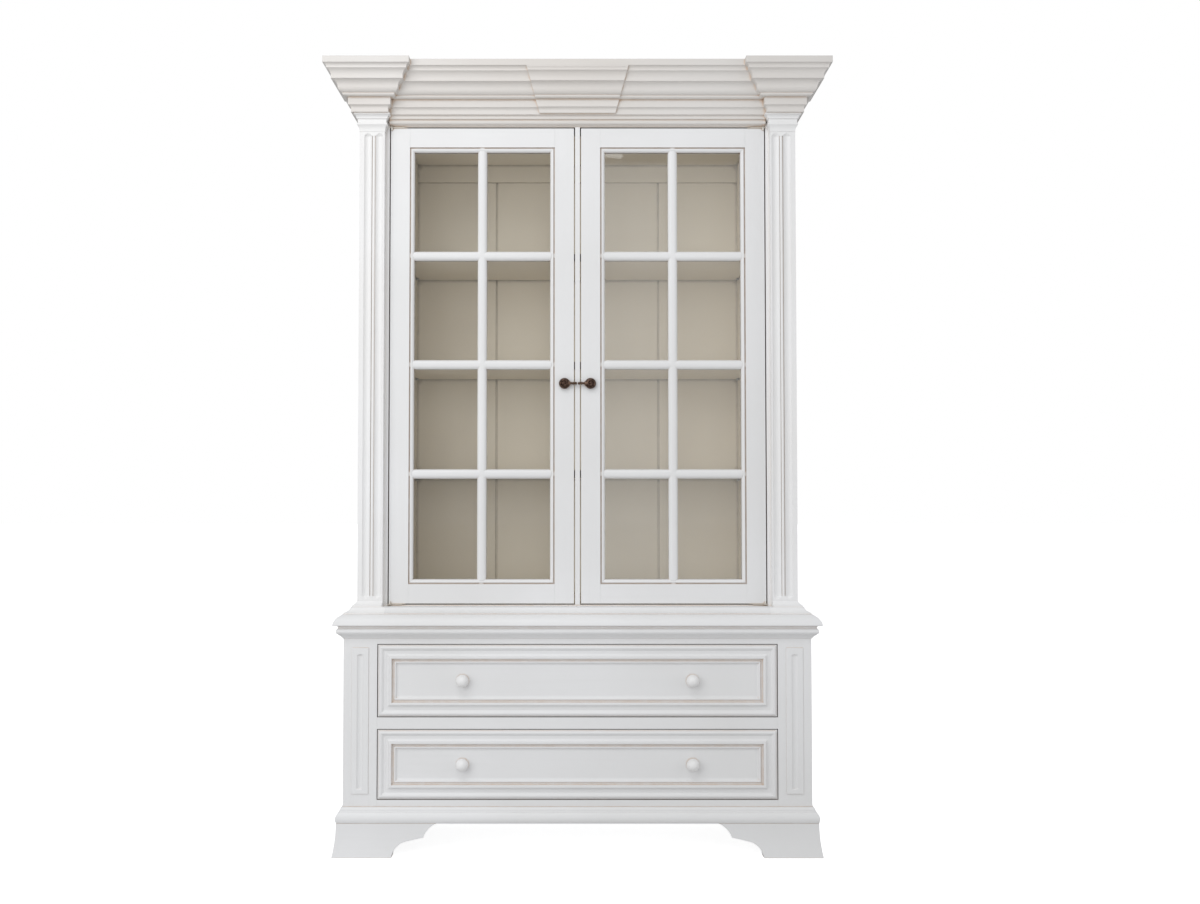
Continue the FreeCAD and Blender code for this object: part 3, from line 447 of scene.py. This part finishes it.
def swirl(bm, centre, toward, radius, depth):
    """A snail-shaped knob: a dome with a spiral groove, drawn out toward the finger."""
    rings, segments = 30, 96
    shell = []
    for i in range(1, rings + 1):
        share = i / rings
        ring = []
        for j in range(segments):
            turn = 2 * math.pi * j / segments
            lean = max(0.0, math.cos(turn)) ** 10
            reach = radius * (1.0 + 0.14 * lean) * share
            dome = (1.0 - share**3.0) ** 0.5
            phase = (turn / (2 * math.pi) - SWIRL_TURNS * share) % 1.0
            groove = math.exp(-(((phase - 0.5) / GROOVE_WIDTH) ** 2))
            cut = GROOVE_DEPTH * groove * min(1.0, share * 4) * min(1.0, (1 - share) * 5)
            out = RIM_THICKNESS + (depth - RIM_THICKNESS) * dome - cut
            place = (toward * math.cos(turn) * reach, -out, math.sin(turn) * reach)
            ring.append(bm.verts.new(Vector(centre) + Vector(place)))
        shell.append(ring)
    tip = bm.verts.new(Vector(centre) + Vector((0, -depth + 0.0003, 0)))
    for j in range(segments):
        bm.faces.new((tip, shell[0][j], shell[0][(j + 1) % segments]))
    for near, far in zip(shell, shell[1:]):
        for j in range(segments):
            k = (j + 1) % segments
            bm.faces.new((near[j], far[j], far[k], near[k]))
    back = []
    for j in range(segments):
        rim = shell[-1][j].co - Vector(centre)
        back.append(bm.verts.new(Vector(centre) + Vector((rim.x * 0.86, 0.0, rim.z * 0.86))))
    for j in range(segments):
        k = (j + 1) % segments
        bm.faces.new((shell[-1][j], back[j], back[k], shell[-1][k]))
    bm.faces.new(back)


def ring_bead(middle, neck, crest, half):
    """A rounded collar on the finger, as (radius, along) points."""
    points = []
    for degrees in range(-90, 91, 15):
        turn = math.radians(degrees)
        swell = math.cos(turn) ** 0.8 if abs(turn) < 1.57 else 0.0
        points.append((neck + (crest - neck) * swell, middle + half * math.sin(turn)))
    return points


KNOB_DEPTH = 0.013
LATCH_RADIUS = 0.0155
TONGUE_THICKNESS = 0.003
TONGUE_TIP = 0.006
TONGUE_ROOT = 0.008


def finger_profile(reach):
    """A slim finger with two collars, drawn out of the knob toward the middle of the doors."""
    points = [(0.0, 0.008), (0.0046, 0.008), (0.0040, 0.0155), (0.0032, 0.0185), (0.0029, reach - 0.0135)]
    points += ring_bead(reach - 0.0105, 0.0029, 0.0045, 0.0016)
    points += [(0.0028, reach - 0.0085), (0.0028, reach - 0.0075)]
    points += ring_bead(reach - 0.0055, 0.0029, 0.0045, 0.0016)
    return points + [(0.0030, reach - 0.0032), (0.0038, reach - 0.0016), (0.0034, reach - 0.0003), (0.0, reach)]


def tongue(bm, x, z, back_y, length):
    """The flat tongue behind the door, round at both ends and eased at its faces."""
    outline = []
    for start, radius, centre in ((math.pi, TONGUE_ROOT, 0.0), (0.0, TONGUE_TIP, length)):
        for i in range(25):
            turn = start + math.pi * i / 24
            outline.append((radius * math.cos(turn), centre + radius * math.sin(turn)))
    front_y, edge = back_y - TONGUE_THICKNESS, 0.0005
    layers = []
    for y, inset, shorten in (
        (front_y, 0.9, 0.985),
        (front_y + edge, 1.0, 1.0),
        (back_y - edge, 1.0, 1.0),
        (back_y, 0.9, 0.985),
    ):
        middle = length / 2
        corners = [(x + u * inset, y, z + middle + (v - middle) * shorten) for u, v in outline]
        layers.append([bm.verts.new(corner) for corner in corners])
    for near, far in zip(layers, layers[1:]):
        for i in range(len(outline)):
            j = (i + 1) % len(outline)
            bm.faces.new((near[i], near[j], far[j], far[i]))
    bm.faces.new(layers[0])
    bm.faces.new(layers[-1])


def turn_latch(side, name):
    """Swirl knob, ringed finger, spindle and the tongue behind the door."""
    low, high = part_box(name)
    toward = -side
    x = high.x - LATCH_RADIUS if side > 0 else low.x + LATCH_RADIUS
    z = low.z + LATCH_RADIUS
    face = low.y + KNOB_DEPTH
    bm = bmesh.new()
    swirl(bm, (x, face, z), toward, LATCH_RADIUS - 0.0004, KNOB_DEPTH)
    boss = [(0.0, 0.0), (0.0078, 0.0), (0.0078, 0.0032), (0.0, 0.0032)]
    lathe(bm, boss, (x, face, z), (0, 1, 0), (1, 0, 0), 40)
    reach = abs(x) - 0.001
    lathe(bm, finger_profile(reach), (x, face - 0.0055, z), (toward, 0, 0), (0, 0, 1), 32)
    spindle = [(0.0, 0.0), (0.004, 0.0), (0.004, high.y - face - 0.0002), (0.0, high.y - face)]
    lathe(bm, spindle, (x, face, z), (0, 1, 0), (1, 0, 0), 32)
    tongue(bm, x, z, high.y, high.z - z - TONGUE_TIP)
    finished(name + "_swirl", bm, bronze, name, name, 50)


turn_latch(-1, "left_latch")
turn_latch(1, "right_latch")

# ---------------------------------------------------------------- floor

floor_material, tree, shader = new_material("studio_floor")
speck = noise(tree, (1.0, 1.0, 1.0), 6.0, 3.0)
tree.links.new(mixed(tree, speck, (0.62, 0.62, 0.62), (0.65, 0.65, 0.65)), shader.inputs["Base Color"])
shader.inputs["Roughness"].default_value = 0.9
shader.inputs["Emission Color"].default_value = (1.0, 1.0, 1.0, 1.0)
shader.inputs["Emission Strength"].default_value = 0.86
bm = bmesh.new()
half = 30.0
corners = [bm.verts.new((x, y, 0.0)) for x, y in ((-half, -half), (half, -half), (half, half), (-half, half))]
bm.faces.new(corners)
mesh = bpy.data.meshes.new("studio_floor")
bm.to_mesh(mesh)
bm.free()
floor = bpy.data.objects.new("studio_floor", mesh)
floor.data.materials.append(floor_material)
scene.collection.objects.link(floor)
lights_only(floor, "floor_light", [floor])
